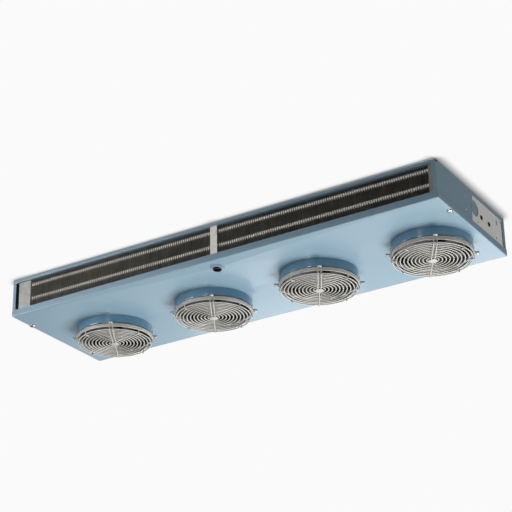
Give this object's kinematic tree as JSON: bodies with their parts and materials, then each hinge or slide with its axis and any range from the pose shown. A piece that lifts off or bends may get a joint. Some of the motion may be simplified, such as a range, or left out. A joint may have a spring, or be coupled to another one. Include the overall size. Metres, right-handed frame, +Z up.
{
  "type": "walk-in unit cooler",
  "caption": "Flat ceiling-mounted unit cooler with a front finned coil outlet and a hinged drip pan that carries a row of guarded axial fans.",
  "frame": {"origin": "centre of the top face that meets the ceiling, between the four slots", "axes": "+X along the casing towards the electrical end, +Y to the rear, away from the air outlet, +Z up towards the ceiling"},
  "size_m": [1.4387, 0.4469, 0.1685],
  "materials": {
    "blue_paint": "gloss",
    "galvanised": "satin",
    "fins": "dull",
    "tube_collars": "satin",
    "copper": "satin",
    "brass": "satin",
    "grommet_rubber": "matt",
    "plated_steel": "bright",
    "blank_plate": "satin",
    "ferrule_plastic": "matt",
    "guard_wire": "satin",
    "motor_can": "satin",
    "blade_metal": "satin"
  },
  "bodies": {
    "casing": {"top_panel": "blue_paint", "left_end_panel": "blue_paint", "right_end_panel": "blue_paint", "rear_panel": "blue_paint", "left_tube_sheet": "galvanised", "centre_tube_sheet": "galvanised", "right_tube_sheet": "galvanised", "fin_pack_left": "fins", "fin_pack_right": "fins", "coil_tubes": "tube_collars", "return_bends": "copper", "feeder_tubes": "copper", "distributor": "brass", "liquid_line": "copper", "suction_header": "copper", "suction_line": "copper", "pipe_grommets": "grommet_rubber", "hinge_leaves_casing": "galvanised", "hinge_pins": "plated_steel", "terminal_box": "galvanised", "terminal_cover": "galvanised", "service_plate": "blank_plate", "plate_screws": "plated_steel", "cable_grommets": "grommet_rubber"},
    "pan": {"fan_pan": "blue_paint", "fan_collar_1": "blue_paint", "fan_collar_2": "blue_paint", "fan_collar_3": "blue_paint", "fan_collar_4": "blue_paint", "drain_ferrule": "ferrule_plastic", "pan_fasteners": "plated_steel", "hinge_leaves_pan": "galvanised", "fan_guard_1": "guard_wire", "fan_guard_2": "guard_wire", "fan_guard_3": "guard_wire", "fan_guard_4": "guard_wire", "guard_clips": "galvanised", "guard_screws": "plated_steel", "fan_motor_1": "motor_can", "fan_motor_2": "motor_can", "fan_motor_3": "motor_can", "fan_motor_4": "motor_can", "motor_bracket_1": "galvanised", "motor_bracket_2": "galvanised", "motor_bracket_3": "galvanised", "motor_bracket_4": "galvanised", "bracket_screws": "plated_steel"},
    "fan_1": {"impeller_1": "blade_metal", "fan_shaft_1": "plated_steel"},
    "fan_2": {"impeller_2": "blade_metal", "fan_shaft_2": "plated_steel"},
    "fan_3": {"impeller_3": "blade_metal", "fan_shaft_3": "plated_steel"},
    "fan_4": {"impeller_4": "blade_metal", "fan_shaft_4": "plated_steel"}
  },
  "joints": [
    {"name": "pan_swing", "type": "hinge", "parent": "casing", "child": "pan", "pos_m": [0, 0.223, -0.0925], "axis": [1, 0, 0], "range_deg": [0, 90]},
    {"name": "fan_1_spin", "type": "hinge", "parent": "pan", "child": "fan_1", "pos_m": [-0.50805, 0.0285, -0.13], "axis": [0, 0, 1], "continuous": true},
    {"name": "fan_2_spin", "type": "hinge", "parent": "pan", "child": "fan_2", "pos_m": [-0.14935, 0.0285, -0.13], "axis": [0, 0, 1], "continuous": true},
    {"name": "fan_3_spin", "type": "hinge", "parent": "pan", "child": "fan_3", "pos_m": [0.20935, 0.0285, -0.13], "axis": [0, 0, 1], "continuous": true},
    {"name": "fan_4_spin", "type": "hinge", "parent": "pan", "child": "fan_4", "pos_m": [0.56805, 0.0285, -0.13], "axis": [0, 0, 1], "continuous": true}
  ]
}
